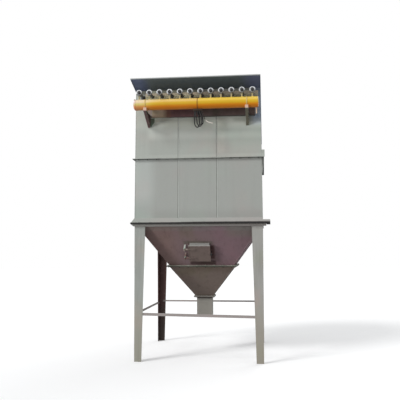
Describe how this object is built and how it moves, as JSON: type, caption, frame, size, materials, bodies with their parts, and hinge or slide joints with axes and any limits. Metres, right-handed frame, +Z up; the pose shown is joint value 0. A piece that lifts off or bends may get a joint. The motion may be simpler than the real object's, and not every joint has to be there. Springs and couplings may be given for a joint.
{
  "type": "pulse-jet dust collector on legs",
  "caption": "Box-shaped bag filter with hopper and chute on four tapered legs, with a yellow air header, pulse valves under the roof's overhang and a hinged hatch.",
  "frame": {"origin": "on the ground, in the middle of the whole outline seen from above", "axes": "+Z up, +X to the right seen from the front, -Y towards the front with the air header"},
  "size_m": [2.067, 2.555, 4.1069],
  "materials": {
    "leg_paint": "satin grey paint, dusty",
    "rear_leg_primer": "matt red-brown primer, dusty",
    "brace_paint": "satin grey paint, dusty",
    "frame_paint": "satin grey paint, shaded and dusty",
    "hopper_primer": "matt red-brown primer under thin grey",
    "chute_paint": "satin grey paint",
    "hatch_primer": "matt primer, worn edges",
    "latch_plastic": "black moulded knob",
    "flange_paint": "satin grey paint, edges rubbed",
    "wall_paint": "satin green-grey paint on sheet",
    "roof_paint": "satin grey paint, weathered",
    "rail_primer": "matt primer",
    "header_yellow": "gloss yellow paint",
    "fitting_cream": "cream paint and bare thread",
    "strap_paint": "yellow paint over steel band",
    "bracket_primer": "matt red-brown primer",
    "pipe_steel": "dark oily steel",
    "valve_aluminium": "die-cast, lightly dulled",
    "cable_rubber": "black cable sheath"
  },
  "bodies": {
    "filter": {"leg_front_left": "leg_paint", "leg_front_right": "leg_paint", "leg_rear_left": "rear_leg_primer", "leg_rear_right": "rear_leg_primer", "brace_front": "brace_paint", "brace_rear": "brace_paint", "brace_left": "brace_paint", "brace_right": "brace_paint", "support_frame": "frame_paint", "upper_hopper": "hopper_primer", "hopper_flange": "hopper_primer", "lower_hopper": "hopper_primer", "outlet_flange": "chute_paint", "discharge_chute": "chute_paint", "hatch_neck": "hatch_primer", "base_flange": "flange_paint", "corner_lug": "flange_paint", "lower_front_wall": "wall_paint", "lower_rear_wall": "wall_paint", "lower_left_wall": "wall_paint", "lower_right_wall": "wall_paint", "mid_flange": "flange_paint", "side_gusset": "flange_paint", "upper_front_wall": "wall_paint", "upper_rear_wall": "wall_paint", "upper_left_wall": "wall_paint", "upper_right_wall": "wall_paint", "roof": "roof_paint", "valve_rail": "rail_primer", "header_rail": "rail_primer", "header_tank": "header_yellow", "header_fittings": "fitting_cream", "header_straps": "strap_paint", "header_brackets": "bracket_primer", "blow_pipes": "pipe_steel", "cable_left": "cable_rubber", "cable_middle": "cable_rubber", "cable_right": "cable_rubber", "cable_stripped": "cable_rubber", "pulse_valve_01": "valve_aluminium", "pulse_valve_02": "valve_aluminium", "pulse_valve_03": "valve_aluminium", "pulse_valve_04": "valve_aluminium", "pulse_valve_05": "valve_aluminium", "pulse_valve_06": "valve_aluminium", "pulse_valve_07": "valve_aluminium", "pulse_valve_08": "valve_aluminium", "pulse_valve_09": "valve_aluminium", "pulse_valve_10": "valve_aluminium", "pulse_valve_11": "valve_aluminium", "pulse_valve_12": "valve_aluminium"},
    "hatch": {"hatch_door": "hatch_primer", "hatch_latch": "latch_plastic"}
  },
  "joints": [
    {"name": "hatch_hinge", "type": "hinge", "parent": "filter", "child": "hatch", "pos_m": [-0.2515, -0.66844, 1.53617], "axis": [0, 0.5977, -0.8017], "range_deg": [0, 110]}
  ]
}
